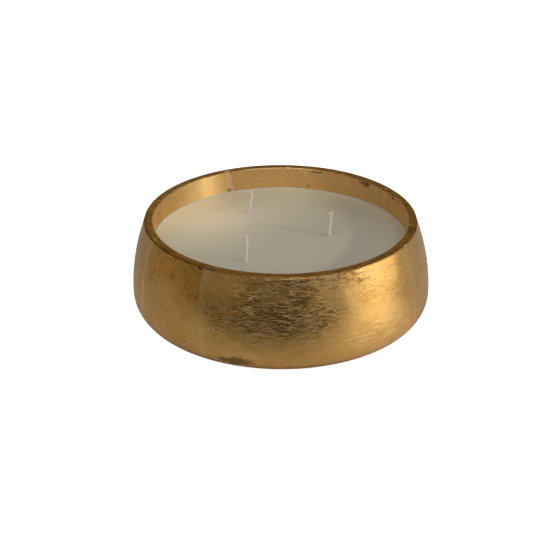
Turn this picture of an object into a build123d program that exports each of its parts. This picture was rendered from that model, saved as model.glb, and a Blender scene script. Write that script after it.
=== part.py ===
from build123d import *
import math
import os

# A gilded three-wick candle bowl: a turned wooden bowl with leaf inside and out, one poured block of wax,
# and three primed cotton wicks, each crimped in a metal tab that an adhesive dot holds to the bowl's floor.
# Millimetres, +Z up. The origin is the centre of the face that the candle stands on.

# Driving dimensions: the bowl
BOWL_HEIGHT = 71.5  # from the table to the top of the rim
BASE_RADIUS = 86.0  # flat of the foot
CORNER_RADIUS = 19.0  # round from the foot up to the belly, the widest ring
FLANK_RADIUS = 136.0  # gentle curve from the belly to the straight taper
TAPER_ANGLE = 16.1  # degrees from vertical, below the rim
WALL_AT_RIM = 6.1
FLOOR_THICKNESS = 8.0
FLOOR_FILLET = 10.0
RIM_ROUND = 0.9  # broken edges of the rim
FOOT_LIFT = 0.5  # the felt stands this far proud of the wooden foot

# Driving dimensions: the felt disc in its turned recess
FELT_RADIUS = 60.0
FELT_THICKNESS = 2.0
RECESS_CLEARANCE = 0.4

# Driving dimensions: the wax
WAX_DROP = 16.8  # the wax level, below the top of the rim
MENISCUS = 1.0  # the wax climbs the wall by this much

# Driving dimensions: wicks, tabs and dots
WICK_DIAMETER = 2.0
WICK_PLACES = ((-24.4, -36.5), (34.4, 5.9), (-22.9, 44.0))
# Each wick's free end, as (sideways, height above the wax) points from its own foot
WICK_LEANS = (
    ((0.6, 11.0), (0.4, 21.5)),
    ((0.1, 7.5), (1.2, 17.0)),
    ((0.7, 6.0), (2.2, 13.0), (1.6, 16.5)),
)
WICK_BURIED_BEND = 3.0  # the wick starts to lean this far under the wax
TAB_RADIUS = 10.0
TAB_THICKNESS = 0.35
NECK_HEIGHT = 6.0
NECK_WALL = 0.4
NECK_FILLET = 0.6
DOT_RADIUS = 9.5
DOT_THICKNESS = 0.8

# Worked out
FLOOR_LEVEL = FOOT_LIFT + FLOOR_THICKNESS
WAX_LEVEL = BOWL_HEIGHT - WAX_DROP
BELLY_RADIUS = BASE_RADIUS + CORNER_RADIUS
TAPER = math.radians(TAPER_ANGLE)
TAPER_FOOT = FOOT_LIFT + CORNER_RADIUS + FLANK_RADIUS * math.sin(TAPER)
TAPER_FOOT_RADIUS = BELLY_RADIUS - FLANK_RADIUS * (1 - math.cos(TAPER))
RIM_RADIUS = TAPER_FOOT_RADIUS - (BOWL_HEIGHT - TAPER_FOOT) * math.tan(TAPER)
BORE_RADIUS = RIM_RADIUS - WALL_AT_RIM
TAB_LEVEL = FLOOR_LEVEL + DOT_THICKNESS


def save(part, name):
    """Labels one finished piece and writes it as parts/NAME.step."""
    part.label = name
    export_step(part, f"parts/{name}.step")
    print(f"{name}: {part.volume / 1000:.2f} cm3")


def make_bowl():
    """The turned bowl: foot, round corner, flank and straight taper outside, and a straight bore inside."""
    recess_radius = FELT_RADIUS + RECESS_CLEARANCE
    recess_top = FELT_THICKNESS
    with BuildPart() as bowl:
        with BuildSketch(Plane.XZ):
            with BuildLine():
                Line((0, recess_top), (recess_radius, recess_top))
                Line((recess_radius, recess_top), (recess_radius, FOOT_LIFT))
                foot = Line((recess_radius, FOOT_LIFT), (BASE_RADIUS, FOOT_LIFT))
                corner = JernArc(foot @ 1, (1, 0), CORNER_RADIUS, 90)
                flank = JernArc(corner @ 1, (0, 1), FLANK_RADIUS, TAPER_ANGLE)
                Line(flank @ 1, (RIM_RADIUS, BOWL_HEIGHT))
                Line((RIM_RADIUS, BOWL_HEIGHT), (BORE_RADIUS, BOWL_HEIGHT))
                Line((BORE_RADIUS, BOWL_HEIGHT), (BORE_RADIUS, FLOOR_LEVEL))
                Line((BORE_RADIUS, FLOOR_LEVEL), (0, FLOOR_LEVEL))
                Line((0, FLOOR_LEVEL), (0, recess_top))
            make_face()
        revolve(axis=Axis.Z)
        rings = bowl.edges().filter_by(GeomType.CIRCLE)
        fillet(rings.group_by(Axis.Z)[-1], RIM_ROUND)
        floor_ring = rings.sort_by(lambda ring: abs(ring.center().Z - FLOOR_LEVEL))[0]
        fillet(floor_ring, FLOOR_FILLET)
    return bowl.part


def make_felt():
    """The felt disc glued in the foot's recess. Its lower face is what the candle stands on."""
    with BuildPart() as felt:
        with BuildSketch(Plane.XY):
            Circle(FELT_RADIUS)
        extrude(amount=FELT_THICKNESS)
        fillet(felt.edges().group_by(Axis.Z)[0], FOOT_LIFT / 2)
    return felt.part


def make_dot(place):
    """One round adhesive dot, between the bowl's floor and a wick tab."""
    with BuildPart() as dot:
        with BuildSketch(Plane.XY.offset(FLOOR_LEVEL)):
            with Locations(place):
                Circle(DOT_RADIUS)
        extrude(amount=DOT_THICKNESS)
    return dot.part


def make_tab(place):
    """One stamped wick tab: a thin disc with a drawn neck that is crimped round the wick."""
    neck_radius = WICK_DIAMETER / 2 + NECK_WALL
    with BuildPart() as tab:
        with BuildSketch(Plane.XY.offset(TAB_LEVEL)):
            with Locations(place):
                Circle(TAB_RADIUS)
        extrude(amount=TAB_THICKNESS)
        with BuildSketch(Plane.XY.offset(TAB_LEVEL)):
            with Locations(place):
                Circle(neck_radius)
        extrude(amount=TAB_THICKNESS + NECK_HEIGHT)
        rings_at_disc_top = tab.edges().filter_by(GeomType.CIRCLE).group_by(Axis.Z)[1]
        fillet(rings_at_disc_top.sort_by(SortBy.RADIUS)[0], NECK_FILLET)
        with BuildSketch(Plane.XY.offset(TAB_LEVEL)):
            with Locations(place):
                Circle(WICK_DIAMETER / 2)
        extrude(amount=TAB_THICKNESS + NECK_HEIGHT, mode=Mode.SUBTRACT)
    return tab.part


def wick_path(place, lean):
    """A wick's centre line: straight up from its tab, then leaning, in runs joined by tangent arcs."""
    x, y = place
    points = [Vector(x, y, TAB_LEVEL), Vector(x, y, WAX_LEVEL - WICK_BURIED_BEND)]
    points += [Vector(x + side, y, WAX_LEVEL + height) for side, height in lean]
    radii = []
    for before, at, after in zip(points, points[1:], points[2:]):
        turn = math.radians((at - before).get_angle(after - at))
        shorter = min((at - before).length, (after - at).length)
        radii.append(0.45 * shorter / math.tan(turn / 2))
    print("wick bend radii", [round(r) for r in radii])
    return FilletPolyline(*points, radius=radii)


def make_wick(place, lean):
    """One primed cotton wick, from its tab to its free end above the wax."""
    with BuildPart() as wick:
        with BuildLine():
            wick_path(place, lean)
        with BuildSketch(Plane.XY.offset(TAB_LEVEL)):
            with Locations(place):
                Circle(WICK_DIAMETER / 2)
        sweep()
    return wick.part


def make_wax(buried):
    """The poured wax: it fills the bore up to its level, climbs the wall a little, and is cast round the wicks."""
    with BuildPart() as wax:
        with BuildSketch(Plane.XZ):
            with BuildLine():
                Line((0, FLOOR_LEVEL), (BORE_RADIUS - FLOOR_FILLET, FLOOR_LEVEL))
                wall_foot = JernArc((BORE_RADIUS - FLOOR_FILLET, FLOOR_LEVEL), (1, 0), FLOOR_FILLET, 90)
                Line(wall_foot @ 1, (BORE_RADIUS, WAX_LEVEL + MENISCUS))
                RadiusArc((BORE_RADIUS, WAX_LEVEL + MENISCUS), (BORE_RADIUS - MENISCUS, WAX_LEVEL), 1.5 * MENISCUS)
                Line((BORE_RADIUS - MENISCUS, WAX_LEVEL), (0, WAX_LEVEL))
                Line((0, WAX_LEVEL), (0, FLOOR_LEVEL))
            make_face()
        revolve(axis=Axis.Z)
        for piece in buried:
            add(piece, mode=Mode.SUBTRACT)
    return wax.part


os.makedirs("parts", exist_ok=True)
save(make_bowl(), "bowl")
save(make_felt(), "felt_base")
dots = [make_dot(place) for place in WICK_PLACES]
tabs = [make_tab(place) for place in WICK_PLACES]
wicks = [make_wick(place, lean) for place, lean in zip(WICK_PLACES, WICK_LEANS)]
for kind, pieces in (("adhesive_dot", dots), ("wick_tab", tabs), ("wick", wicks)):
    for number, piece in enumerate(pieces, start=1):
        save(piece, f"{kind}_{number}")
save(make_wax(dots + tabs + wicks), "wax_fill")
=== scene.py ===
import math
import random

import bpy
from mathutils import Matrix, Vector, noise


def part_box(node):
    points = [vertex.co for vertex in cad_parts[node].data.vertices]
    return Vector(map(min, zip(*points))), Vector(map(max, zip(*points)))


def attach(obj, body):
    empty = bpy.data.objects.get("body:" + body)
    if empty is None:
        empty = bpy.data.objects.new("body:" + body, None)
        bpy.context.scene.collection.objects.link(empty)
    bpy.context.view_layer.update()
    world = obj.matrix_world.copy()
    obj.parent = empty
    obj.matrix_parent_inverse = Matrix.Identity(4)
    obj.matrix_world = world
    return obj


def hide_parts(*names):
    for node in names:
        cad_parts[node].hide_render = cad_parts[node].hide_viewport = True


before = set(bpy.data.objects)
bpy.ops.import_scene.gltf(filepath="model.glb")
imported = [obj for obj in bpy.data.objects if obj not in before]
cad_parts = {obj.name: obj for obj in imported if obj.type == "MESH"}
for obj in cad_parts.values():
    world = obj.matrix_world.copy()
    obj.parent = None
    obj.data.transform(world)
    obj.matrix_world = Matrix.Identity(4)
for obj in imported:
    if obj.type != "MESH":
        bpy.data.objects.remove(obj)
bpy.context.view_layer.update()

# A gilded three-wick candle bowl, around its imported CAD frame. Metres, +Z up, -Y towards the viewer.
MM = 0.001

# The bowl's driving sizes that the frame doesn't state directly
CORNER_RADIUS = 19.0 * MM  # round from the foot up to the belly
FLANK_RADIUS = 136.0 * MM  # gentle curve from the belly to the straight taper
TAPER = math.radians(16.1)
FLOOR_FILLET = 10.0 * MM
RIM_ROUND = 0.9 * MM
MENISCUS = 1.0 * MM  # the wax climbs the wall by this much

# Sizes that the frame does state
BOWL_LOW, BOWL_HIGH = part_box("bowl")
WAX_LOW, WAX_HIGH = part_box("wax_fill")
FELT_LOW, FELT_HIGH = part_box("felt_base")
BELLY_RADIUS = BOWL_HIGH.x
BASE_RADIUS = BELLY_RADIUS - CORNER_RADIUS
BORE_RADIUS = WAX_HIGH.x
FOOT_LEVEL = BOWL_LOW.z
RIM_LEVEL = BOWL_HIGH.z
FLOOR_LEVEL = WAX_LOW.z
WAX_LEVEL = WAX_HIGH.z - MENISCUS
RECESS_RADIUS = FELT_HIGH.x + 0.4 * MM
TAPER_FOOT = FOOT_LEVEL + CORNER_RADIUS + FLANK_RADIUS * math.sin(TAPER)
TAPER_FOOT_RADIUS = BELLY_RADIUS - FLANK_RADIUS * (1 - math.cos(TAPER))
RIM_RADIUS = TAPER_FOOT_RADIUS - (RIM_LEVEL - TAPER_FOOT) * math.tan(TAPER)
FILLET_CENTRE = (BORE_RADIUS - FLOOR_FILLET, FLOOR_LEVEL + FLOOR_FILLET)

BODY_LEAN = 0.5 * MM  # the foot of the hand-made body sits this far to the right of its rim

# The bowl's surface coordinates: U runs round it at a fixed radius, V along its section from its middle
U_RADIUS = 0.1
FIRST_AZIMUTH = -210.0  # degrees from +X, where U starts, at the back


def add_object(name, data):
    """A new object in the scene."""
    made = bpy.data.objects.new(name, data)
    bpy.context.scene.collection.objects.link(made)
    return made


def new_mesh(name, points, faces):
    mesh = bpy.data.meshes.new(name)
    mesh.from_pydata(points, [], faces)
    return mesh


def clamp(value, low=0.0, high=1.0):
    return max(low, min(high, value))


def smooth(value, low, high):
    """0 below low, 1 above high, and an S curve between."""
    t = clamp((value - low) / (high - low))
    return t * t * (3 - 2 * t)


# ---------------- outline

def run(start, end, steps):
    """Points of a straight run, without its first."""
    return [tuple(a + (b - a) * i / steps for a, b in zip(start, end)) for i in range(1, steps + 1)]


def arc(centre, radius, first, last, steps):
    """Points of an arc, without its first. Angles in degrees from the outward direction, upwards."""
    angles = [math.radians(first + (last - first) * i / steps) for i in range(1, steps + 1)]
    return [(centre[0] + radius * math.cos(a), centre[1] + radius * math.sin(a)) for a in angles]


def bowl_section():
    """The half section as {zone: [(radius, height), ...]}, from the recess over the rim to the floor."""
    taper = math.degrees(TAPER)
    rim_outer = (RIM_RADIUS - RIM_ROUND * math.cos(TAPER) - 0.1 * RIM_ROUND, RIM_LEVEL - RIM_ROUND)
    rim_inner = (BORE_RADIUS + RIM_ROUND, RIM_LEVEL - RIM_ROUND)
    flank_centre = (BELLY_RADIUS - FLANK_RADIUS, FOOT_LEVEL + CORNER_RADIUS)
    taper_top = (rim_outer[0] + RIM_ROUND * math.cos(TAPER), rim_outer[1] + RIM_ROUND * math.sin(TAPER))
    under = [(0.0, FELT_HIGH.z)]
    under += run(under[-1], (RECESS_RADIUS, FELT_HIGH.z), 3)
    under += run(under[-1], (RECESS_RADIUS, FOOT_LEVEL), 1)
    under += run(under[-1], (BASE_RADIUS, FOOT_LEVEL), 8)
    outer = arc((BASE_RADIUS, FOOT_LEVEL + CORNER_RADIUS), CORNER_RADIUS, -90, 0, 22)
    outer += arc(flank_centre, FLANK_RADIUS, 0, taper, 26)
    outer += run(outer[-1], taper_top, 13)
    rim = arc(rim_outer, RIM_ROUND, taper, 90, 5)
    rim += run(rim[-1], (rim_inner[0], RIM_LEVEL), 6)
    rim += arc(rim_inner, RIM_ROUND, 90, 180, 5)
    inner = run(rim[-1], (BORE_RADIUS, WAX_LEVEL - 1 * MM), 16)
    inner += run(inner[-1], (BORE_RADIUS, FILLET_CENTRE[1]), 2)
    floor = arc(FILLET_CENTRE, FLOOR_FILLET, 0, -90, 3)
    floor += run(floor[-1], (0.0, FLOOR_LEVEL), 2)
    return {"under": under, "outer": outer, "rim": rim, "inner": inner, "floor": floor}


def lengths_along(section):
    """{zone: [V of each point]} for a section, in metres from its first point."""
    travelled, before, found = 0.0, None, {}
    for zone, points in section.items():
        found[zone] = []
        for point in points:
            travelled += math.dist(before, point) if before else 0.0
            found[zone].append(travelled)
            before = point
    return found


SECTION = bowl_section()
ALONG = lengths_along(SECTION)
V_WALL = ALONG["under"][-1]  # where the outer wall starts
V_RIM = ALONG["outer"][-1]  # where the rim starts
V_INSIDE = ALONG["rim"][-1]  # where the inner wall starts
V_RIM_MIDDLE = 0.5 * (V_RIM + V_INSIDE)


def v_of(zone, place):
    """V of a place in a zone: a height on the walls, or a radius on the rim and under the foot."""
    axis = 1 if zone in ("outer", "inner") else 0
    points = list(zip(SECTION[zone], ALONG[zone]))
    return min(points, key=lambda p: abs(p[0][axis] - place))[1]


# ---------------- leaf layout and marks

# Leaves of gold, each lapping over the one before it. Start azimuth in degrees from +X, how scratched it is,
# how amber its upper part is, how dull it is, and how much its lap shows
OUTER_LEAVES = (
    (-158, 0.3, 0.8, 0.2, 0.4),
    (-123, 1, 0.4, 0.1, 0.1),
    (-76, 1, 0.05, 0, 0),
    (-30, 0.7, 0.2, 0.2, 0.1),
    (14, 0.8, 0.2, 0.2, 0.2),
    (60, 0.5, 0.6, 0.4, 0.1),
    (106, 0.9, 0.1, 0.2, 0.2),
    (156, 0.5, 0, 0.8, 0),
)
INNER_LEAVES = (
    (-168, 0.4, 0.2, 0.3, 0.2),
    (-118, 0.3, 0.3, 0.4, 0.2),
    (-70, 0.4, 0.2, 0.3, 0.1),
    (-22.5, 0.4, 0.3, 0.3, 0.1),
    (31, 0.5, 0.1, 0.2, 0.45),
    (57.5, 0.25, 0.2, 0.3, 0.3),
    (112.8, 0.4, 0, 0.1, 1),
    (160, 0.4, 0.2, 0.3, 0.1),
)
LAP_WIDTH = 3.6 * MM
LAP_HEIGHT = 0.03 * MM
PIT_DEPTH = 0.35 * MM
LEAF_ROW_GAP = 7.0 * MM  # the outer leaves end raggedly this far under the foot

# Places where the leaf is gone or rubbed thin, by zone: azimuth, height on a wall or radius on the rim (mm),
# half length round the bowl (mm), half width (mm) and depth (mm)
BARE = {
    "outer": ((-124.2, 69.7, 2.6, 1, 0.3), (-120.8, 70.9, 1.4, 0.6, 0.2), (-63, 70.9, 3, 0.4, 0.15),
              (29, 70.8, 6, 0.6, 0.25), (96, 70.8, 4, 0.7, 0.25)),
    "rim": ((-166, 95.1, 8, 0.55, 0.15), (-156, 95.2, 7, 0.65, 0.2), (-144.2, 95.1, 5.5, 1, 0.3),
            (-132, 95.3, 4, 0.45, 0.1), (-11.5, 95, 7, 0.6, 0.2), (-11.3, 91.1, 1.2, 0.9, 0.35),
            (-15.6, 92, 1.3, 0.9, 0.35), (-34, 92.4, 4.6, 0.6, 0.2), (31.5, 90.2, 12, 0.5, 0.15),
            (26.5, 90.4, 6, 0.8, 0.2), (56, 93.4, 6, 0.6, 0.15), (175.6, 92.7, 1.3, 0.8, 0.2),
            (131, 94.8, 4, 0.5, 0.2)),
    "inner": ((44.2, 71, 1.6, 0.8, 0.3), (46, 67.4, 4.8, 0.5, 0.2), (24.4, 69.4, 2.8, 0.8, 0.2)),
}
RUBBED = {
    "outer": ((-107.3, 11, 14.5, 5, 0.04), (101, 9.5, 11, 3.6, 0.04), (28, 44, 3, 1.6, 0.04)),
    "rim": ((92, 92.4, 9.5, 2.6, 0.05), (-13, 92.6, 6.5, 2.4, 0.1), (13.8, 91.6, 4.5, 1.6, 0.05)),
    "inner": ((46, 69.2, 6.4, 2, 0.2), (76.2, 58.2, 2, 0.7, 0.05), (114.8, 57, 2.2, 1.2, 0.05),
              (166.1, 64.6, 1.6, 2.2, 0.05), (72, 70.6, 6, 0.8, 0.05)),
}

# Small pits with thin raised lips, and specks of loose leaf, by zone: azimuth, height (mm), radius (mm). The
# lips and specks are painted pale as highlights.
PITS = {
    "inner": ((100.4, 61.5, 0.8), (80.6, 62.6, 0.75), (162.7, 67, 0.7), (136.2, 68.8, 0.5),
              (19.9, 56.9, 0.7), (11.6, 56.6, 0.6)),
    "outer": ((-114.7, 33.4, 1), (-128.8, 16.6, 1.15), (-165.4, 46.7, 0.8), (-170, 34, 0.8),
              (-52, 24, 0.5), (48, 37, 0.9), (122, 51, 0.8)),
}
SPECKS = {
    "inner": ((149.6, 63.1, 0.8), (48.7, 70, 0.7), (44.6, 69.3, 0.6), (77.8, 68.1, 1)),
    "outer": ((-13.2, 58, 0.9), (-27.6, 71, 0.8), (-140.6, 70, 0.8), (-133.6, 71.2, 0.7),
              (-81, 9, 0.8)),
}

# Where the burnisher worked hardest, and where pale and dark level strokes, painted highlight and painted
# shade, lie side by side, by zone:
# azimuth, height (mm), half length (mm) and half width (mm)
WORKED = {"outer": ((-89, 49, 36, 23), (-78, 67, 48, 8))}
STREAKED = {"outer": ((-86, 66.5, 48, 6), (-52, 24, 36, 13))}


def surface_place(zone, azimuth, place):
    """(U, V) of a place on the bowl."""
    turned = FIRST_AZIMUTH + (azimuth - FIRST_AZIMUTH) % 360.0
    return math.radians(turned) * U_RADIUS, v_of(zone, place * MM)


def placed(marks):
    """Marks as ((U, V), size, ...) in metres."""
    return [(surface_place(zone, azimuth, place), *(size * MM for size in sizes))
            for zone, rows in marks.items() for azimuth, place, *sizes in rows]


WORKED_PLACES, STREAKED_PLACES = placed(WORKED), placed(STREAKED)
BARE_PLACES, RUBBED_PLACES = placed(BARE), placed(RUBBED)
PIT_PLACES, SPECK_PLACES = placed(PITS), placed(SPECKS)

# The leaf's colours, as metal reflects them, and the brown ground under it
GOLD = (0.84, 0.505, 0.165)
GOLD_DEEP = (0.76, 0.43, 0.12)
GOLD_AMBER = (0.72, 0.33, 0.035)
# Dark gold: darker tone in blotches and grain, and painted shade in the crinkles' low places and beside the
# pale strokes
GOLD_DARK_TONE_AND_SHADE = (0.25, 0.145, 0.045)
# Painted shade: the rim's top and outer rounding in a darker copy of the gold
GOLD_RIM_PAINTED_SHADE = (0.30, 0.165, 0.055)
# Painted light: the inner wall's leaf, coloured brighter and yellower than the same leaf outside
GOLD_INSIDE_PAINTED_LIGHT = (1.0, 0.70, 0.31)
GOLD_INSIDE_DEEP_PAINTED_LIGHT = (0.94, 0.63, 0.25)
# Painted highlight: pale gold for scratches, folds, strokes, pit lips and specks that catch the light
GOLD_PAINTED_HIGHLIGHT = (1.0, 0.77, 0.44)
GOLD_LAP = (1.0, 0.72, 0.42)
GOLD_RUBBED = (0.27, 0.155, 0.06)
RIM_SHEEN = (0.9, 0.62, 0.34)  # tints the rim's reflections at grazing angles
GROUND_LIGHT = (0.22, 0.11, 0.038)
GROUND_DARK = (0.09, 0.043, 0.015)


# ---------------- camera, lights, floor

# Soft panels that face the bowl: name, azimuth and elevation (degrees), distance, width and height (m),
# radiance (watts per square metre and steradian) and colour
PANELS = (
    ("key", -5, 11, 1.1, 0.48, 0.44, 1.8, (1, 0.96, 0.88)),
    ("near_key", -30, 11, 1.1, 0.48, 0.44, 0.96, (1, 0.96, 0.88)),
    ("near_key_edge", -55, 11, 1.1, 0.46, 0.44, 0.42, (1, 0.96, 0.9)),
    ("shoulder", 19, 11, 1.1, 0.48, 0.44, 0.55, (1, 0.96, 0.9)),
    ("far_shoulder", 43, 11, 1.1, 0.48, 0.44, 0.12, (1, 0.96, 0.9)),
    ("front_high", -90, 60, 1.3, 1.5, 0.9, 1.54, (1, 0.97, 0.92)),
    ("front_low", -90, 9, 1.2, 1.3, 0.35, 0.15, (1, 0.97, 0.92)),
    ("right_high", 0, 50, 1.3, 1.2, 0.9, 0.12, (1, 0.97, 0.92)),
    ("left", 178, 14, 1.2, 1.1, 0.7, 0.2, (1, 0.93, 0.82)),
    ("near_left", -137, 11, 1.1, 0.82, 0.44, 0.26, (1, 0.93, 0.82)),
    ("back_left", 122, 29, 1.5, 1.6, 0.62, 0.5, (1, 0.92, 0.8)),
    ("back_right", 70, 29, 1.5, 1.1, 0.62, 0.45, (1, 0.92, 0.8)),
)

# Soft-edged spots on the wax and the wicks: name, place and target (m), width of the cone (degrees),
# energy (watts) and colour
SPOTS = (
    ("pale_glow", (-0.1, 0.02, 0.85), (-0.078, 0.036, WAX_LEVEL), 9.5, 4.5, (1, 0.88, 0.66)),
    ("warm_glow", (-0.06, 0.02, 0.85), (-0.047, 0.040, WAX_LEVEL), 5.6, 8, (1, 0.62, 0.38)),
    ("back_glow", (0.01, -0.02, 0.9), (0.005, 0.075, WAX_LEVEL), 5.6, 7, (1, 0.9, 0.74)),
    ("window", (1.1, -0.42, 0.52), (-0.018, 0, WAX_LEVEL + 10 * MM), 7.8, 18, (1, 0.93, 0.8)),
)


def aim(obj, target):
    obj.rotation_euler = (Vector(target) - obj.location).to_track_quat("-Z", "Y").to_euler()


def make_camera():
    """A long lens, 26 degrees above the table, with the bowl a little right of the frame's middle."""
    distance, elevation, aside = 1.240, math.radians(25.94), -10.16 * MM
    aim_height = 33.0 * MM
    data = bpy.data.cameras.new("camera")
    data.sensor_width = 36.0
    data.lens = 117.9
    camera = add_object("camera", data)
    camera.location = (aside, -distance * math.cos(elevation), aim_height + distance * math.sin(elevation))
    aim(camera, (aside, 0, aim_height))
    bpy.context.scene.camera = camera


def add_light(name, kind, place, target, energy, colour):
    data = bpy.data.lights.new(name, kind)
    data.energy = energy
    data.color = colour
    light = add_object(name, data)
    light.location = place
    aim(light, target)
    return light


def make_panel(name, azimuth, elevation, distance, width, height, radiance, colour):
    a, e = math.radians(azimuth), math.radians(elevation)
    place = Vector((math.cos(a) * math.cos(e), math.sin(a) * math.cos(e), math.sin(e))) * distance
    panel = add_light(name, "AREA", place, (0, 0, 0.04), radiance * math.pi * width * height, colour)
    panel.data.shape = "RECTANGLE"
    panel.data.size, panel.data.size_y = width, height
    panel.visible_camera = False


def make_spot(name, place, target, width, energy, colour):
    spot = add_light(name, "SPOT", place, target, energy, colour)
    spot.data.spot_size = math.radians(width)
    spot.data.spot_blend = 1.0
    spot.data.shadow_soft_size = 0.03


def make_lights():
    """A low key on the right between dimmer panels, panels in front, left and behind, and four spots."""
    for panel in PANELS:
        make_panel(*panel)
    for spot in SPOTS:
        make_spot(*spot)


def make_world():
    """A dim even room light, and plain white where the camera sees past the floor."""
    g = Graph("studio", bpy.data.worlds)
    room = g.node("Background", {"Color": (1.0, 0.95, 0.88), "Strength": 0.048}).outputs[0]
    paper = g.node("Background", {"Color": (1, 1, 1)}).outputs[0]
    rays = g.node("LightPath").outputs["Is Camera Ray"]
    mix = g.node("MixShader", {0: rays, 1: room, 2: paper}).outputs[0]
    g.node("OutputWorld", {"Surface": mix})
    bpy.context.scene.world = g.owner


def floor_shade(g, place):
    """Painted shade and light on the table that only reflections see: dark beyond a near edge, and paler to
    the right of the bowl.
    """
    split = g.node("SeparateXYZ", {0: place})
    rightwards = g.math("MAXIMUM", split.outputs["X"], 0.0)
    near = g.ramp(g.math("MULTIPLY_ADD", rightwards, 0.5, split.outputs["Y"]), -0.25, -0.12, 0.05, 0.85)
    return g.math("ADD", near, g.ramp(split.outputs["X"], 0.0, 0.12, 0.0, 0.12))


def floor_glow(g, place):
    """The patch of window light on the table, right of the bowl: an ellipse that fades at its edge."""
    away = g.vector("LENGTH", g.stretch(place, (0.27, 0.115, 1.0), -14, (0.32, -0.15, 0.0)), out=1)
    strength = g.ramp(away, 0.2, 1.15, 1.05, 0.0)
    return g.node("Emission", {"Strength": strength, "Color": (1.0, 0.93, 0.82)}).outputs[0]


def make_floor():
    """A plain pale table top. Only reflections see its shade and its patch of light."""
    half = 3.0
    corners = [(-half, -half, 0), (half, -half, 0), (half, half, 0), (-half, half, 0)]
    floor = add_object("floor", new_mesh("floor", corners, [(0, 1, 2, 3)]))
    g = Graph("pale_floor")
    shade = g.node("BsdfDiffuse", {"Color": floor_shade(g, g.place())}).outputs[0]
    reflected = g.node("AddShader", {0: shade, 1: floor_glow(g, g.place())}).outputs[0]
    pale = g.node("BsdfDiffuse", {"Color": (0.9, 0.9, 0.9)}).outputs[0]
    lift = g.node("Emission", {"Strength": 0.95}).outputs[0]
    seen = g.node("AddShader", {0: pale, 1: lift}).outputs[0]
    rays = g.node("LightPath").outputs["Is Camera Ray"]
    mix = g.node("MixShader", {0: rays, 1: reflected, 2: seen}).outputs[0]
    g.node("OutputMaterial", {"Surface": mix})
    floor.data.materials.append(g.owner)


# ---------------- material helpers

class Graph:
    """Builds the nodes of a material or a world. Inputs may be numbers, colours or other nodes' sockets."""

    def __init__(self, name, owners=bpy.data.materials):
        self.owner = owners.new(name)
        self.owner.use_nodes = True
        self.nodes = self.owner.node_tree.nodes
        self.links = self.owner.node_tree.links
        self.nodes.clear()

    def put(self, socket, value):
        if isinstance(value, bpy.types.NodeSocket):
            self.links.new(value, socket)
        elif hasattr(value, "__len__") and len(value) == 3 and socket.type == "RGBA":
            socket.default_value = (*value, 1)
        else:
            socket.default_value = value

    def node(self, kind, inputs=(), **settings):
        made = self.nodes.new("ShaderNode" + kind)
        for key, value in settings.items():
            setattr(made, key, value)
        for key, value in dict(inputs).items():
            self.put(made.inputs[key], value)
        return made

    def math(self, operation, *values):
        made = self.node("Math", operation=operation)
        for socket, value in zip(made.inputs, values):
            self.put(socket, value)
        return made.outputs[0]

    def product(self, first, *others):
        for other in others:
            first = self.math("MULTIPLY", first, other)
        return first

    def greatest(self, first, *others):
        for other in others:
            first = self.math("MAXIMUM", first, other)
        return first

    def centred(self, value, size):
        """Noise from 0 to 1, as noise about 0 that is size across."""
        return self.math("MULTIPLY", self.math("SUBTRACT", value, 0.5), size)

    def vector(self, operation, *values, out=0):
        made = self.node("VectorMath", operation=operation)
        for socket, value in zip(made.inputs, values):
            self.put(socket, value)
        return made.outputs[out]

    def mix(self, share, a, b):
        """a where share is 0, b where it is 1. Numbers or colours."""
        number = all(isinstance(v, (int, float)) or getattr(v, "type", "") == "VALUE" for v in (a, b))
        made = self.node("Mix", data_type="FLOAT" if number else "RGBA")
        first, second, out = (2, 3, 0) if number else (6, 7, 2)
        self.put(made.inputs[0], share)
        self.put(made.inputs[first], a)
        self.put(made.inputs[second], b)
        return made.outputs[out]

    def ramp(self, value, low=0.3, high=0.7, to_low=0.0, to_high=1.0):
        """An S curve from to_low at low to to_high at high. Most noises run from about 0.3 to 0.7."""
        made = self.node("MapRange", {"Value": value, "From Min": low, "From Max": high,
                                      "To Min": to_low, "To Max": to_high}, interpolation_type="SMOOTHSTEP")
        return made.outputs[0]

    def noise(self, place, scale, detail=3.0, rough=0.55):
        inputs = {"Vector": place, "Scale": scale, "Detail": detail, "Roughness": rough}
        return self.node("TexNoise", inputs).outputs[0]

    def stretch(self, place, sizes, turn=0.0, shift=(0, 0, 0)):
        """Coordinates in units of sizes, along axes turned by degrees about Z."""
        made = self.node("Mapping", {"Vector": place, "Rotation": (0, 0, math.radians(turn)),
                                     "Scale": sizes, "Location": shift}, vector_type="TEXTURE")
        return made.outputs[0]

    def bump(self, height, distance):
        return self.node("Bump", {"Height": height, "Distance": distance}).outputs[0]

    def place(self):
        return self.node("TexCoord").outputs["Object"]

    def surface(self, **inputs):
        """Ends the material with a Principled surface. Underscores stand for spaces in the inputs' names."""
        shader = self.node("BsdfPrincipled", {k.replace("_", " "): v for k, v in inputs.items()})
        self.node("OutputMaterial", {"Surface": shader.outputs[0]})
        return self.owner


# ---------------- gold

# Layers of hairlines: a cell's length and width (mm), the line's width (mm), the cells' turn (degrees),
# how far a line leans and curves in its cell, and the cells' shift (m)
SCRATCHES = (
    (8, 1.0, 0.27, 3, 0.08, 8, (0, 0, 0)),
    (11, 1.6, 0.31, -4, 0.10, 8, (0.033, 0.017, 0)),
    (8, 2.8, 0.29, -19, 0.20, 16, (0.051, 0.029, 0)),
    (7, 3.4, 0.28, 27, 0.25, 20, (0.027, 0.043, 0)),
)
STRAIGHT_SCRATCHES = (5, 5.2, 0.26, -55, 0.60, 50, (0.083, 0.017, 0))
# Strokes whose colour is painted highlight, and strokes beside them whose colour is painted shade
HIGHLIGHT_STROKES = (12, 0.9, 0.30, 2, 0.05, 5, (0.019, 0.061, 0))
SHADE_STROKES = (10, 1.2, 0.26, 4, 0.06, 6, (0.071, 0.037, 0))


class Leaf:
    """What the parts of the gold material share: coordinates, noises, and how much of each mark is where."""


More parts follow.
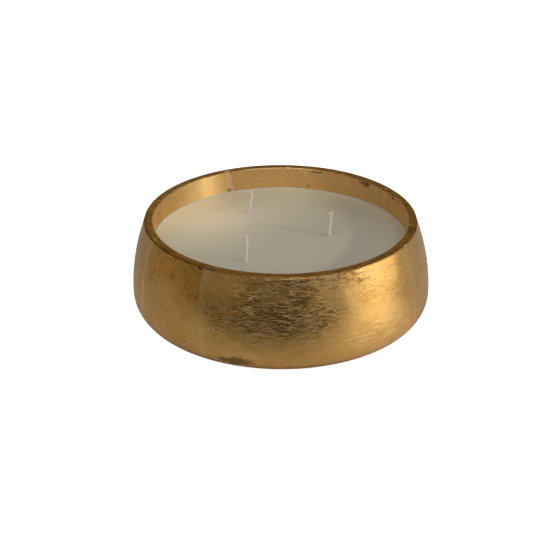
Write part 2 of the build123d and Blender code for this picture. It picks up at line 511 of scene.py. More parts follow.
def turn_share(azimuth):
    """An azimuth in degrees as a share of the turn, from the bowl's first azimuth."""
    return ((azimuth - FIRST_AZIMUTH) % 360.0) / 360.0


def steps_ramp(g, share, stops):
    """A colour that jumps at each (share of the turn, colour) stop."""
    made = g.node("ValToRGB", {"Fac": share})
    ramp = made.color_ramp
    ramp.interpolation = "CONSTANT"
    stops = sorted(stops)
    ramp.elements[0].position, ramp.elements[0].color = 0.0, (*stops[-1][1], 1)
    ramp.elements.remove(ramp.elements[1])
    for position, colour in stops:
        ramp.elements.new(position).color = (*colour, 1)
    return made.outputs["Color"]


def leaf_traits(g, turn, leaves):
    """(scratches, amber, dullness) of the leaf at a share of the turn."""
    return steps_ramp(g, turn, [(turn_share(leaf[0]), leaf[1:4]) for leaf in leaves])


def lap_strength(g, turn, leaves):
    """How much a lap shows: its leaf's strength where two leaves lie over each other, and 0 between."""
    width = LAP_WIDTH / (math.tau * U_RADIUS)
    stops = []
    for leaf in leaves:
        start = turn_share(leaf[0])
        stops += [(start, (leaf[4],) * 3), (start + width, (0, 0, 0))]
    return steps_ramp(g, turn, stops)


def hairlines(g, surface, length, breadth, width, turn, lean, curve, shift):
    """Fine lines, one in each stretched cell of a layer."""
    spread = g.stretch(surface, (length * MM, breadth * MM, 1), turn, shift)
    cells = g.node("TexVoronoi", {"Vector": spread, "Scale": 1.0}, voronoi_dimensions="2D", feature="F1")
    away = g.node("SeparateXYZ", {0: g.vector("SUBTRACT", spread, cells.outputs["Position"])})
    chance = g.node("SeparateColor", {0: cells.outputs["Color"]})
    along = g.product(away.outputs[0], length * MM)
    across = g.product(away.outputs[1], breadth * MM)
    slope = g.centred(chance.outputs[0], 2 * lean)
    bend = g.centred(chance.outputs[1], 2 * curve)
    line = g.product(along, g.math("MULTIPLY_ADD", along, bend, slope))
    off = g.math("ABSOLUTE", g.math("SUBTRACT", across, line))
    core = g.ramp(off, 0.4 * width * MM, width * MM, 1.0, 0.0)
    reach = g.ramp(g.math("ABSOLUTE", away.outputs[0]), 0.15, 0.5, 1.0, 0.0)
    return g.product(g.ramp(chance.outputs[2], 0.35, 1.0), reach, core)


def scratches(g, leaf):
    """The burnisher's hairlines: mostly level, and some in every direction."""
    layers = [hairlines(g, leaf.bent, *layer) for layer in SCRATCHES]
    return g.greatest(*layers, hairlines(g, leaf.surface, *STRAIGHT_SCRATCHES))


def folds(g, place):
    """A net of fine curling folds where thin leaf has wrinkled."""
    layers = []
    for scale, width in ((230, 0.030), (330, 0.034)):
        level = g.math("SUBTRACT", g.noise(place, scale, 2, 0.5), 0.5)
        layers.append(g.ramp(g.math("ABSOLUTE", level), 0.3 * width, width, 1.0, 0.0))
    return g.greatest(*layers)


def creases(g, bent):
    """Height of the crinkles of thin leaf over a brushed ground: mostly level and wavering. Their low places
    also carry painted shade in the colour.
    """
    level = g.noise(g.stretch(bent, (9.0 * MM, 1.1 * MM, 1)), 1.0, 2, 0.55)
    rising = g.noise(g.stretch(bent, (7.0 * MM, 1.2 * MM, 1), 18, (0.02, 0.01, 0)), 1.0, 1, 0.5)
    falling = g.noise(g.stretch(bent, (7.0 * MM, 1.3 * MM, 1), -21, (0.05, 0.03, 0)), 1.0, 1, 0.5)
    return g.math("ADD", level, g.product(g.greatest(rising, falling), 0.7))


def mark_field(g, surface, places, ragged):
    """Above 0 inside any mark, 1 at its middle, with ragged edges. A mark with one size is round."""
    field = None
    for (u, v), *sizes in places:
        half_length, half_width = (sizes * 2)[:2]
        shares = (1 / half_length, 1 / half_width, 0)
        away = g.vector("MULTIPLY_ADD", surface, shares, (-u / half_length, -v / half_width, 0))
        far = g.vector("LENGTH", away, out=1)
        field = far if field is None else g.math("MINIMUM", field, far)
    return g.math("ADD", g.math("SUBTRACT", 1.0, field), ragged)


def rim_flecks(g, leaf):
    """Specks of wear along both edges of the rim."""
    outside = g.math("ABSOLUTE", g.math("SUBTRACT", leaf.v, V_RIM + 0.7 * MM))
    inside = g.math("ABSOLUTE", g.math("SUBTRACT", leaf.v, V_INSIDE - 0.7 * MM))
    near = g.ramp(g.math("MINIMUM", outside, inside), 0.0, 1.1 * MM, 1.0, 0.0)
    return g.product(near, g.ramp(g.noise(leaf.place, 170, 4, 0.7), 0.50, 0.62))


def find_noises(g, leaf):
    """Noises of several sizes, and the surface's coordinates slowly bent."""
    leaf.cloud = g.noise(leaf.place, 48, 3)
    leaf.mottle = g.noise(leaf.place, 230, 4, 0.62)
    leaf.grain = g.noise(leaf.place, 900, 3, 0.6)
    leaf.blotch = g.noise(leaf.place, 170, 4, 0.65)
    leaf.ragged = g.centred(leaf.mottle, 1.6)
    wander = g.node("TexNoise", {"Vector": leaf.place, "Scale": 38.0, "Detail": 2.0}).outputs["Color"]
    leaf.bent = g.vector("MULTIPLY_ADD", wander, (0.006, 0.006, 0), leaf.surface)
    leaf.brushed = g.noise(g.stretch(leaf.bent, (26 * MM, 1.3 * MM, 1), 2), 1.0, 4, 0.62)


def find_leaves(g, leaf):
    """Which leaf lies where, with torn edges, how it differs from the others, and where leaves lap."""
    turn = g.math("MULTIPLY_ADD", leaf.u, 1 / (math.tau * U_RADIUS), -FIRST_AZIMUTH / 360.0)
    torn = g.math("MULTIPLY_ADD", g.math("SUBTRACT", leaf.mottle, 0.5), 0.005, turn)
    torn = g.math("MULTIPLY_ADD", g.math("SUBTRACT", leaf.cloud, 0.5), 0.012, torn)
    leaf.is_inside = g.math("GREATER_THAN", leaf.v, V_RIM_MIDDLE)
    traits = g.mix(leaf.is_inside, leaf_traits(g, torn, OUTER_LEAVES), leaf_traits(g, torn, INNER_LEAVES))
    leaf.scratched, leaf.amber, leaf.dull = g.node("SeparateColor", {0: traits}).outputs
    lap = g.mix(leaf.is_inside, lap_strength(g, torn, OUTER_LEAVES), lap_strength(g, torn, INNER_LEAVES))
    leaf.lap = g.node("SeparateColor", {0: lap}).outputs[0]


def find_lines(g, leaf):
    """Scratches, folds, crinkles and strokes, and where each shows. Their colours paint the scratches, folds
    and pale strokes pale as highlights, and the dark strokes as shade.
    """
    leaf.on_rim = g.product(g.ramp(leaf.v, V_RIM - 0.9 * MM, V_RIM - 0.1 * MM),
                            g.ramp(leaf.v, V_INSIDE - 1.2 * MM, V_INSIDE - 0.7 * MM, 1.0, 0.0))
    worked = g.ramp(mark_field(g, leaf.surface, WORKED_PLACES, 0.0), -0.3, 0.5, 0.42, 1.0)
    worked = g.product(leaf.scratched, g.greatest(worked, g.product(leaf.is_inside, 0.7)))
    leaf.crowd = g.product(worked, g.ramp(leaf.cloud, 0.36, 0.60, 0.60, 1.0),
                           g.math("MULTIPLY_ADD", leaf.on_rim, -0.97, 1.0))
    leaf.high = g.ramp(g.math("ADD", leaf.v, g.centred(leaf.cloud, 0.03)),
                       v_of("outer", 32 * MM), v_of("outer", 60 * MM))
    folded = g.product(leaf.high, g.math("SUBTRACT", 1.0, leaf.on_rim),
                       g.ramp(g.math("ADD", leaf.amber, leaf.is_inside), 0.0, 0.3, 0.06, 0.34),
                       g.ramp(worked, 0.1, 0.4, 0.4, 1.0), g.ramp(leaf.crowd, 0.4, 0.9, 1.0, 0.2))
    scratched = g.product(scratches(g, leaf), leaf.crowd)
    leaf.lines = g.greatest(scratched, g.product(folds(g, leaf.place), folded))
    leaf.crease = creases(g, leaf.bent)
    streaked = g.ramp(mark_field(g, leaf.surface, STREAKED_PLACES, g.product(leaf.ragged, 1.5)), -0.1, 0.6)
    leaf.pale_strokes = g.product(hairlines(g, leaf.bent, *HIGHLIGHT_STROKES), streaked)
    leaf.dark_strokes = g.product(hairlines(g, leaf.bent, *SHADE_STROKES), streaked)


def find_wear(g, leaf):
    """Bare and rubbed places, pits with their rings, specks, flecks on the rim, and the bare foot."""
    bare = mark_field(g, leaf.surface, BARE_PLACES, leaf.ragged)
    rubbed = mark_field(g, leaf.surface, RUBBED_PLACES, leaf.ragged)
    pit = mark_field(g, leaf.surface, PIT_PLACES, g.product(leaf.ragged, 0.25))
    speck = mark_field(g, leaf.surface, SPECK_PLACES, leaf.ragged)
    leaf.ring = g.product(g.ramp(pit, -0.9, -0.3), g.ramp(pit, -0.1, 0.1, 1.0, 0.0))
    leaf.speck = g.ramp(speck, 0.0, 0.4)
    leaf.rubbed = g.product(g.ramp(rubbed, -0.1, 0.45), g.ramp(leaf.mottle, 0.25, 0.6, 0.75, 1.0))
    leaf_end = V_WALL - LEAF_ROW_GAP
    leaf.foot = g.ramp(g.math("ADD", leaf.v, g.product(leaf.ragged, 2.5 * MM)),
                       leaf_end - 0.6 * MM, leaf_end + 0.6 * MM, 1.0, 0.0)
    leaf.hidden = g.greatest(g.ramp(bare, 0.0, 0.4), g.ramp(pit, -0.05, 0.35, 0.0, 0.85),
                             g.product(rim_flecks(g, leaf), 0.75), leaf.foot)


def gold_colour(g, leaf):
    """Each layer of colour over the ones before it, as (share, colour)."""
    amber = g.product(leaf.amber, leaf.high)
    layers = (
        # painted light: the inner wall in a brighter copy of the gold
        (leaf.is_inside, g.mix(g.ramp(leaf.blotch, 0.38, 0.62), GOLD_INSIDE_DEEP_PAINTED_LIGHT, GOLD_INSIDE_PAINTED_LIGHT)),
        (amber, GOLD_AMBER),
        (g.product(amber, g.ramp(leaf.blotch, 0.45, 0.68, 0.0, 0.55)), GOLD_DARK_TONE_AND_SHADE),
        # painted shade: the crinkles' low places darkened, most where the burnisher worked hardest
        (g.product(g.ramp(leaf.crowd, 0.25, 0.9, 0.04, 1.0), g.ramp(leaf.crease, 0.97, 0.76)), GOLD_DARK_TONE_AND_SHADE),
        (g.ramp(leaf.grain, 0.52, 0.75, 0.0, 0.40), GOLD_DARK_TONE_AND_SHADE),
        # painted shade: the rim's top and outer rounding darkened
        (g.product(leaf.on_rim, g.ramp(leaf.mottle, 0.35, 0.65, 0.70, 1.0)), GOLD_RIM_PAINTED_SHADE),
        (leaf.lap, GOLD_LAP),
        (leaf.rubbed, GOLD_RUBBED),
        # painted shade and painted highlight: dark and pale level strokes side by side
        (g.product(leaf.dark_strokes, 0.55), GOLD_DARK_TONE_AND_SHADE),
        (g.product(leaf.pale_strokes, 0.95), GOLD_PAINTED_HIGHLIGHT),
        # painted highlight: the scratches and folds coloured pale
        (g.product(leaf.lines, 0.9), GOLD_PAINTED_HIGHLIGHT),
        # painted highlight: pale rings on the pits' lips, and pale specks
        (g.greatest(g.product(leaf.ring, 0.6), leaf.speck), GOLD_PAINTED_HIGHLIGHT),
        (leaf.hidden, g.mix(g.ramp(leaf.grain), GROUND_DARK, GROUND_LIGHT)),
    )
    tone = g.mix(g.ramp(leaf.cloud, 0.32, 0.68), GOLD, GOLD_DEEP)
    for share, colour in layers:
        tone = g.mix(share, tone, colour)
    return tone


def gold_roughness(g, leaf):
    rough = g.math("ADD", g.ramp(leaf.brushed, 0.3, 0.7, 0.17, 0.26), g.product(leaf.dull, 0.10))
    rough = g.math("MULTIPLY_ADD", leaf.is_inside, 0.22, rough)
    rough = g.mix(g.greatest(leaf.lines, g.product(leaf.lap, 0.35)), rough, 0.55)
    rough = g.mix(leaf.on_rim, rough, 0.42)
    return g.mix(g.greatest(leaf.hidden, leaf.rubbed), rough, 0.50)


def gold_relief(g, leaf):
    """Height in metres, as a sum of (share, height) parts."""
    parts = (
        (leaf.mottle, 0.02 * MM),
        (leaf.brushed, g.math("MULTIPLY_ADD", leaf.crowd, 0.05 * MM, 0.015 * MM)),
        (leaf.crease, g.ramp(leaf.crowd, 0.3, 1.0, 0.03 * MM, 0.20 * MM)),
        (g.product(leaf.is_inside, leaf.blotch), 0.10 * MM),
        (leaf.lines, 0.015 * MM),
        (leaf.hidden, -0.08 * MM),
        (leaf.ring, 0.08 * MM),
    )
    height = g.product(leaf.grain, 0.03 * MM)
    for share, part in parts:
        height = g.math("MULTIPLY_ADD", share, part, height)
    return height


def gold_material():
    """Gold-coloured leaf over a brown ground: laps, crinkles, scratches, wear, and a bare lacquered foot."""
    g, leaf = Graph("gold_leaf"), Leaf()
    leaf.place = g.place()
    leaf.surface = g.node("UVMap", uv_map="surface").outputs[0]
    leaf.u, leaf.v, _ = g.node("SeparateXYZ", {0: leaf.surface}).outputs
    for find in (find_noises, find_leaves, find_lines, find_wear):
        find(g, leaf)
    brushing = g.mix(g.greatest(leaf.hidden, leaf.on_rim), g.mix(leaf.is_inside, 0.78, 0.85), 0.0)
    tangent = g.node("Tangent", direction_type="RADIAL", axis="Z").outputs[0]
    return g.surface(Base_Color=gold_colour(g, leaf), Roughness=gold_roughness(g, leaf),
                     Metallic=g.mix(leaf.hidden, 1.0, g.mix(leaf.foot, 0.8, 0.0)),
                     Specular_Tint=g.mix(leaf.on_rim, (1, 1, 1), RIM_SHEEN),
                     Anisotropic=brushing, Anisotropic_Rotation=0.25, Tangent=tangent,
                     Coat_Weight=g.product(leaf.foot, 0.4), Coat_Roughness=0.25,
                     Normal=g.bump(gold_relief(g, leaf), 1.0))


# ---------------- other materials

def wax_material():
    """Cream wax with a satin skin and a faint bloom."""
    g = Graph("cream_wax")
    place = g.place()
    bloom = g.noise(place, 30, 3)
    fine = g.noise(place, 700, 2)
    colour = g.mix(g.ramp(bloom), (0.645, 0.615, 0.50), (0.67, 0.64, 0.52))
    return g.surface(Base_Color=colour, Roughness=g.ramp(bloom, 0.3, 0.7, 0.30, 0.36),
                     Subsurface_Weight=0.35, Subsurface_Radius=(1.0, 0.72, 0.48), Subsurface_Scale=4 * MM,
                     Specular_IOR_Level=0.5, Normal=g.bump(fine, 0.004 * MM))


def wick_material():
    """Bleached cotton stiff with wax. Its fluff catches light from above, so its normals lean upwards."""
    g = Graph("waxed_cotton")
    place = g.place()
    soaked = g.noise(place, 420, 3)
    fibres = g.noise(g.stretch(place, (0.12 * MM, 0.12 * MM, 0.9 * MM)), 1.0, 2)
    colour = g.mix(g.ramp(soaked), (0.95, 0.92, 0.83), (0.98, 0.97, 0.92))
    upwards = g.vector("ADD", g.bump(fibres, 0.03 * MM), (0, 0, 0.7))
    return g.surface(Base_Color=colour, Roughness=g.ramp(soaked, 0.3, 0.7, 0.42, 0.62),
                     Normal=g.vector("NORMALIZE", upwards))


def steel_material():
    """Bright tinned steel with fine stamping marks."""
    g = Graph("tinned_steel")
    place = g.place()
    cloudy = g.noise(place, 260, 3)
    drawn = g.noise(g.stretch(place, (4 * MM, 0.25 * MM, 0.25 * MM), 20), 1.0, 3)
    colour = g.mix(g.ramp(cloudy), (0.60, 0.60, 0.58), (0.74, 0.74, 0.72))
    return g.surface(Base_Color=colour, Metallic=1.0, Roughness=g.ramp(drawn, 0.3, 0.7, 0.22, 0.38),
                     Normal=g.bump(drawn, 0.02 * MM))


def adhesive_material():
    """A milky acrylic adhesive with small bubbles in it."""
    g = Graph("acrylic_adhesive")
    place = g.place()
    cells = g.node("TexVoronoi", {"Vector": place, "Scale": 900.0}, feature="F1").outputs["Distance"]
    bubble = g.ramp(cells, 0.16, 0.24, 1.0, 0.0)
    haze = g.noise(place, 300, 2)
    colour = g.mix(bubble, g.mix(haze, (0.78, 0.78, 0.72), (0.86, 0.86, 0.82)), (0.55, 0.55, 0.50))
    return g.surface(Base_Color=colour, Roughness=g.ramp(haze, 0.3, 0.7, 0.25, 0.40),
                     Subsurface_Weight=0.3, Subsurface_Scale=1 * MM, Normal=g.bump(bubble, -0.05 * MM))


def felt_material():
    """Dark brown wool felt: matted fibres of slightly different browns."""
    g = Graph("brown_felt")
    place = g.place()
    bent = g.vector("MULTIPLY_ADD", g.node("TexNoise", {"Vector": place, "Scale": 300.0}).outputs["Color"],
                    (0.004, 0.004, 0.004), place)
    matted = g.noise(g.stretch(bent, (1.6 * MM, 0.14 * MM, 1 * MM), 35), 1.0, 3, 0.6)
    crossed = g.noise(g.stretch(bent, (1.6 * MM, 0.14 * MM, 1 * MM), -50), 1.0, 3, 0.6)
    fibres = g.greatest(matted, crossed)
    worn = g.noise(place, 40, 3)
    colour = g.mix(g.ramp(fibres, 0.4, 0.75), (0.045, 0.028, 0.018), (0.13, 0.085, 0.055))
    colour = g.mix(g.ramp(worn, 0.45, 0.7, 0.0, 0.4), colour, (0.12, 0.085, 0.06))
    return g.surface(Base_Color=colour, Roughness=0.95, Sheen_Weight=0.4, Sheen_Roughness=0.5,
                     Specular_IOR_Level=0.2, Normal=g.bump(fibres, 0.15 * MM))


# ---------------- meshes

def link(name, mesh, material, slot, *nodes):
    """Makes a mesh into a piece that rides on the root and stands for CAD nodes."""
    piece = add_object(name, mesh)
    mesh.materials.append(material)
    mesh.shade_smooth()
    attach(piece, "root")
    if nodes:
        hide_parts(*nodes)


def lathe(name, rings, columns, first_azimuth, point_at):
    """A closed turned mesh. rings are (radius, height, V) in metres, the first and last at radius 0."""
    inner, normals = rings[1:-1], ring_normals(rings)
    turn = [math.radians(first_azimuth + 360.0 * j / columns) for j in range(columns)]
    points = [point_at(*ring, a, normal) for ring, normal in zip(inner, normals[1:-1]) for a in turn]
    first, last = len(points), len(points) + 1
    points += [point_at(*rings[0], 0.0, normals[0]), point_at(*rings[-1], 0.0, normals[-1])]
    faces, uvs = [], []
    us = [(turn[0] + math.tau * j / columns) * U_RADIUS for j in range(columns + 1)]

    def at(i, j):
        return i * columns + j % columns

    for j in range(columns):
        middle = 0.5 * (us[j] + us[j + 1])
        faces.append((first, at(0, j + 1), at(0, j)))
        uvs += [(middle, rings[0][2]), (us[j + 1], inner[0][2]), (us[j], inner[0][2])]
    for i in range(len(inner) - 1):
        low, high = inner[i][2], inner[i + 1][2]
        for j in range(columns):
            faces.append((at(i, j), at(i, j + 1), at(i + 1, j + 1), at(i + 1, j)))
            uvs += [(us[j], low), (us[j + 1], low), (us[j + 1], high), (us[j], high)]
    end = len(inner) - 1
    for j in range(columns):
        middle = 0.5 * (us[j] + us[j + 1])
        faces.append((at(end, j), at(end, j + 1), last))
        uvs += [(us[j], inner[end][2]), (us[j + 1], inner[end][2]), (middle, rings[-1][2])]
    mesh = new_mesh(name, points, faces)
    layer = mesh.uv_layers.new(name="surface")
    layer.uv.foreach_set("vector", [n for uv in uvs for n in uv])
    mesh.update()
    return mesh


def bowl_rings():
    return [(r, z, v) for zone in SECTION for (r, z), v in zip(SECTION[zone], ALONG[zone])]


def ring_normals(rings):
    """The outward direction of the section at each ring, as (along the radius, up)."""
    found = []
    for i in range(len(rings)):
        before, after = rings[max(i - 1, 0)], rings[min(i + 1, len(rings) - 1)]
        step = Vector((after[0] - before[0], after[1] - before[1])).normalized()
        found.append((step.y, -step.x))
    return found


def ripple(place, scale, seed):
    """Smooth noise from -1 to 1 at a place in metres; scale is in cycles per metre."""
    return noise.noise(place * scale + Vector((seed, 2.7 * seed, -1.3 * seed)))


def outwards(azimuth):
    return Vector((math.cos(azimuth), math.sin(azimuth), 0))


def nearest_turn(u_gap):
    """A difference in U, the short way round."""
    whole = math.tau * U_RADIUS
    return (u_gap + 0.5 * whole) % whole - 0.5 * whole


def wall_offset(place):
    """How far a hand-finished wall stands off its true outline, along the radius."""
    slow, quick = ripple(place, 22, 3.1), ripple(place, 75, 8.4)
    return 0.16 * MM * slow + 0.05 * MM * quick + 0.02 * MM * ripple(place, 230, 5.5)


def mark_offset(u, v):
    """How far worn places and pits stand off the leaf. Negative is down, and a pit's lip is above 0."""
    sunk = 0.0
    for (centre_u, centre_v), half_length, half_width, depth in BARE_PLACES + RUBBED_PLACES:
        if abs(v - centre_v) < 1.3 * half_width:
            away = math.hypot(nearest_turn(u - centre_u) / half_length, (v - centre_v) / half_width)
            sunk -= depth * smooth(1.25 - away, 0.0, 0.8)
    for (centre_u, centre_v), radius in PIT_PLACES:
        if abs(v - centre_v) < 2.3 * radius:
            away = math.hypot(nearest_turn(u - centre_u), v - centre_v) / radius
            sunk += PIT_DEPTH * (0.35 * smooth(2.2 - away, 0.0, 1.0) - 1.35 * smooth(1.2 - away, 0.0, 0.8))
    return sunk


def lap_offset(u, v):
    """How far the laps stand proud."""
    leaves = INNER_LEAVES if v > V_RIM_MIDDLE else OUTER_LEAVES
    height = 0.0
    for leaf in leaves:
        gone = (u - math.radians(leaf[0]) * U_RADIUS) % (math.tau * U_RADIUS)
        rise = smooth(gone, 0.0, 0.7 * MM) * (1 - smooth(gone, LAP_WIDTH - 0.7 * MM, LAP_WIDTH))
        height += LAP_HEIGHT * leaf[4] * rise
    return height


def bowl_point(radius, height, v, azimuth, normal):
    """A point of the finished bowl: its outline, the turner's and gilder's unevenness, laps and marks."""
    direction = outwards(azimuth)
    place = direction * radius + Vector((0, 0, height))
    u = azimuth * U_RADIUS
    wall = wall_offset(place) * (1 if v > V_WALL - 12 * MM else 0)
    raised = mark_offset(u, v) + lap_offset(u, v)
    place += direction * (wall + raised * normal[0]) + Vector((0, 0, raised * normal[1]))
    if V_RIM - 4 * MM < v < V_INSIDE + 4 * MM:
        near_top = smooth(height, RIM_LEVEL - 5 * MM, RIM_LEVEL)
        place.z += 0.12 * MM * ripple(direction * 0.1, 14, 6.6) * near_top
    place.x += BODY_LEAN * (0.5 - height / RIM_LEVEL)
    return place


def make_bowl():
    mesh = lathe("gilded_bowl", bowl_rings(), 880, FIRST_AZIMUTH, bowl_point)
    link("gilded_bowl", mesh, gold_material(), "gilded_wood", "bowl")


# Where the wicks stand, at the middles of their tabs
WICK_FEET = [0.5 * (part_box(f"wick_tab_{n}")[0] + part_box(f"wick_tab_{n}")[1]) for n in (1, 2, 3)]
WAX_SPECK = (66.2 * MM, -8.6 * MM)

# The wax's top: a dish from the wall inwards, a cone at each wick, and a hollow on either side of it
DISH_DEPTH, DISH_REACH = 0.25 * MM, 30 * MM
CONE_HEIGHT, CONE_WIDTHS = 1.5 * MM, (1.05 * MM, 1.05 * MM * 1.15, 1.05 * MM * 1.7)
HOLLOW_DEPTH, HOLLOW_WIDTH, HOLLOW_AWAY = 0.30 * MM, 2.6 * MM, 5 * MM


def wax_rise(x, y):
    """How far the wax stands above its level: a dish, ripples, a cone at each wick between two hollows."""
    here = Vector((x, y, 0))
    rise = -DISH_DEPTH * smooth(BORE_RADIUS - here.length, 0.0, DISH_REACH)
    rise += 0.07 * MM * ripple(here, 14, 2.2)
    for foot, width in zip(WICK_FEET, CONE_WIDTHS):
        rise += CONE_HEIGHT * math.exp(-math.hypot(x - foot.x, y - foot.y) / width)
        for side in (-HOLLOW_AWAY, HOLLOW_AWAY):
            away = math.hypot(x - foot.x - side, y - foot.y)
            rise -= HOLLOW_DEPTH * math.exp(-(away / HOLLOW_WIDTH) ** 2)
    speck = math.hypot(x - WAX_SPECK[0], y - WAX_SPECK[1])
    return rise + 0.45 * MM * math.exp(-(speck / (0.7 * MM)) ** 2)


def wax_point(radius, height, v, azimuth, normal):
    """A point of the wax: it follows the bowl's uneven bore, and its top is uneven too."""
    direction = outwards(azimuth)
    place = direction * radius + Vector((0, 0, height))
    share = (radius / BORE_RADIUS) ** 4
    place += direction * share * (wall_offset(direction * BORE_RADIUS + Vector((0, 0, height))) + 0.04 * MM)
    if v > 0:
        place.z += wax_rise(place.x, place.y)
        edge = smooth(radius, BORE_RADIUS - 0.6 * MM, BORE_RADIUS)
        place.z += 0.25 * MM * ripple(direction * 0.1, 60, 4.4) * edge
    place.x += BODY_LEAN * (0.5 - height / RIM_LEVEL) * share
    return place


def make_wax():
    """One poured block: flat on the bowl's floor, up the wall, over the meniscus and in across the top."""
    across, up = FILLET_CENTRE
    rings = [(0, FLOOR_LEVEL, 0), (0.5 * across, FLOOR_LEVEL, 0)]
    for angle in (90, 70, 50, 30, 10, 0):
        a = math.radians(angle)
        rings.append((across + FLOOR_FILLET * math.cos(a), up - FLOOR_FILLET * math.sin(a), 0))
    rings += [(BORE_RADIUS, WAX_LEVEL - 12 * MM, 0), (BORE_RADIUS, WAX_LEVEL - 2 * MM, 0)]
    for i in range(9):
        climb = i / 8
        rings.append((BORE_RADIUS - 1.6 * MENISCUS * climb, WAX_LEVEL + MENISCUS * (1 - climb) ** 2.2, 1))
    radius = BORE_RADIUS - 1.6 * MENISCUS
    while radius > 3 * MM:  # in finer steps where the wicks stand
        radius -= 0.45 * MM if 31 * MM < radius < 57 * MM else 1.5 * MM
        rings.append((radius, WAX_LEVEL, 1))
    rings.append((0, WAX_LEVEL, 1))
    mesh = lathe("wax", rings, 640, 0, wax_point)
    link("wax", mesh, wax_material(), "wax", "wax_fill")


# ---------------- wicks

# Each wick's free length: (sideways, height above the wax) in mm, and its frayed tips
WICK_RUNS = (
    (((0.6, 8.6), (0.6, 13.3), (0.45, 18.2)), ((-1.5, 20.4), (2.1, 21.6))),
    (((0.0, 4.1), (0.15, 8.8), (0.9, 14.6)), ((-0.9, 17.4), (2.5, 18.0))),
    (((0.6, 5.7), (1.0, 9.1), (2.4, 13.8)), ((0.9, 16.8), (1.9, 16.9))),
)
CORE_RADIUS = 0.70 * MM
STRAND_RADIUS = 0.33 * MM
BRAID_RADIUS = 0.74 * MM
BRAID_PITCH = 6.0 * MM
FIBRE_RADIUS = 0.09 * MM


def smooth_path(points, step):
    """Points about a step apart on a smooth curve through the given ones."""
    ends = [2 * points[0] - points[1]] + list(points) + [2 * points[-1] - points[-2]]
    path = []
    for a, b, c, d in zip(ends, ends[1:], ends[2:], ends[3:]):
        count = max(1, round((c - b).length / step))
        for i in range(count):
            t = i / count
            path.append(0.5 * (2 * b + (c - a) * t + (2 * a - 5 * b + 4 * c - d) * t * t
                               + (3 * b - a - 3 * c + d) * t ** 3))
    return path + [points[-1].copy()]


def frames_along(path):
    """(tangent, right, forward) at each point of a path that never runs along X."""
    found = []
    for i in range(len(path)):
        tangent = (path[min(i + 1, len(path) - 1)] - path[max(i - 1, 0)]).normalized()
        right = (Vector((1, 0, 0)) - tangent * tangent.x).normalized()
        found.append((tangent, right, tangent.cross(right)))
    return found


def add_tube(shape, path, radii, sides):
    """Adds a closed round tube along a path to a shape, (points, faces)."""
    points, faces = shape
    base = len(points)
    for (_, right, forward), centre, radius in zip(frames_along(path), path, radii):
        for j in range(sides):
            a = math.tau * j / sides
            points.append(centre + right * (radius * math.cos(a)) + forward * (radius * math.sin(a)))
    for i in range(len(path) - 1):
        for j in range(sides):
            k = (j + 1) % sides
            faces.append((base + i * sides + j, base + i * sides + k,
                          base + (i + 1) * sides + k, base + (i + 1) * sides + j))
    last = base + (len(path) - 1) * sides
    faces.append(tuple(base + j for j in reversed(range(sides))))
    faces.append(tuple(last + j for j in range(sides)))


def strand_path(path, index):
    """The way of one of a braid's eight strands round the path: four turn one way and four the other."""
    hand = 1 if index < 4 else -1
    rate = math.tau / BRAID_PITCH
    gone, found = 0.0, []
    for i, (centre, (_, right, forward)) in enumerate(zip(path, frames_along(path))):
        gone += (centre - path[i - 1]).length if i else 0.0
        turn = hand * rate * gone + index * math.pi / 2
        out = BRAID_RADIUS + hand * 0.11 * MM * math.cos(4 * rate * gone)
        found.append(centre + right * (out * math.cos(turn)) + forward * (out * math.sin(turn)))
    return found


def add_fray(shape, start, tip, chance):
    """One strand's loose end: it bends out to near the tip, thins, and ends in three fibres."""
    end = tip + Vector([chance.uniform(-0.35, 0.35) * MM for _ in range(3)])
    middle = start.lerp(end, 0.5) + Vector((0, chance.uniform(-0.3, 0.3) * MM, 0.25 * MM))
    path = smooth_path([start, middle, end], 0.3 * MM)
    add_tube(shape, path, [STRAND_RADIUS * (1 - 0.2 * i / len(path)) for i in range(len(path))], 6)
    away = (end - start).normalized()
    for _ in range(3):
        spread = Vector([chance.uniform(-0.5, 0.5) for _ in range(3)])
        far = end + (away + spread).normalized() * chance.uniform(0.5, 1.1) * MM
        fibre = smooth_path([end - away * 0.3 * MM, end.lerp(far, 0.5), far], 0.25 * MM)
        add_tube(shape, fibre, [FIBRE_RADIUS] * len(fibre), 4)


def make_wick(number, material):
    """One braided cotton wick, from its tab's neck through the wax to its frayed head."""
    foot = WICK_FEET[number - 1]
    run_up, tips = WICK_RUNS[number - 1]
    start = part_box(f"wick_{number}")[0].z

    def above(side, height):
        return Vector((foot.x + side * MM, foot.y, WAX_LEVEL + height * MM))

    points = [Vector((foot.x, foot.y, start)), Vector((foot.x, foot.y, WAX_LEVEL - 8 * MM)), above(0, 0)]
    points += [above(*place) for place in run_up]
    path = smooth_path(points, 0.2 * MM)
    chance = random.Random(40 + number)
    shape = ([], [])
    add_tube(shape, path, [CORE_RADIUS] * len(path), 10)
    for index in range(8):
        strand = strand_path(path, index)
        add_tube(shape, strand, [STRAND_RADIUS] * len(strand), 6)
        tip = above(*tips[0]).lerp(above(*tips[1]), (index % 4) / 3)
        add_fray(shape, strand[-1], tip, chance)
    name = f"cotton_wick_{number}"
    link(name, new_mesh(name, *shape), material, "wick", f"wick_{number}")


# ---------------- felt, tabs and dots

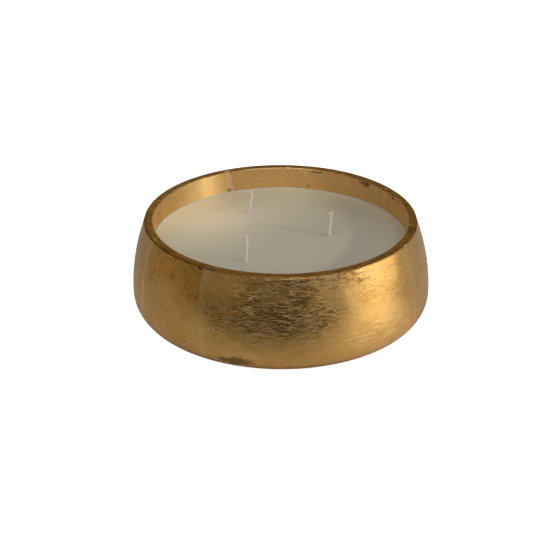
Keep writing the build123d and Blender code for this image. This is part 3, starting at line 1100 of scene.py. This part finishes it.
def felt_point(radius, height, v, azimuth, normal):
    """A point of the felt disc: matted and slightly uneven below, with a wavering cut edge."""
    direction = outwards(azimuth)
    near_edge = smooth(radius, 50 * MM, 60 * MM)
    place = direction * (radius - 0.15 * MM * (1 + ripple(direction, 22, 1.9)) * near_edge)
    if v > 0:
        height += 0.12 * MM + 0.10 * MM * ripple(place, 420, 3.3) + 0.06 * MM * ripple(place, 1100, 7.2)
    return place + Vector((0, 0, max(height, 0.02 * MM)))


def felt_fuzz(shape):
    """Loose fibres that lie curled against the felt's lower face."""
    chance = random.Random(11)
    for _ in range(1400):
        away, turn = FELT_HIGH.x * 0.97 * math.sqrt(chance.random()), chance.uniform(0, math.tau)
        heading = chance.uniform(0.2, math.pi - 0.2)
        place = Vector((away * math.cos(turn), away * math.sin(turn), 0))
        path = []
        for _ in range(5):
            path.append(place + Vector((0, 0, chance.uniform(0.03, 0.20) * MM)))
            place = place + outwards(heading) * 0.4 * MM
            heading = clamp(heading + chance.uniform(-0.7, 0.7), 0.2, math.pi - 0.2)
        add_tube(shape, path, [0.035 * MM] * 5, 3)


def make_felt():
    """The felt disc glued in the foot's recess."""
    top, low, edge = FELT_HIGH.z, FELT_LOW.z, FELT_HIGH.x
    rings = [(edge * i / 60, low, 1) for i in range(60)]
    rings += [(edge, low + 0.2 * MM, 1), (edge, 0.5 * (low + top), 0), (edge, top, 0)]
    rings += [(0.5 * edge, top, 0), (0, top, 0)]
    mesh = lathe("felt_pad", rings, 420, 0, felt_point)
    fuzz = ([], [])
    felt_fuzz(fuzz)
    material = felt_material()
    link("felt_fuzz", new_mesh("felt_fuzz", *fuzz), material, "felt")
    link("felt_pad", mesh, material, "felt", "felt_base")


def finish_hidden_parts():
    """Finishes for the wick tabs and the adhesive dots, which keep their CAD shapes."""
    steel, adhesive = steel_material(), adhesive_material()
    for number in (1, 2, 3):
        for node, material in ((f"wick_tab_{number}", steel), (f"adhesive_dot_{number}", adhesive)):
            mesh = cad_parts[node].data
            mesh.materials.clear()
            mesh.materials.append(material)


bpy.context.scene.view_settings.view_transform = "Standard"
make_camera()
make_world()
make_lights()
make_floor()
make_bowl()
make_wax()
cotton = wick_material()
for wick_number in (1, 2, 3):
    make_wick(wick_number, cotton)
make_felt()
finish_hidden_parts()
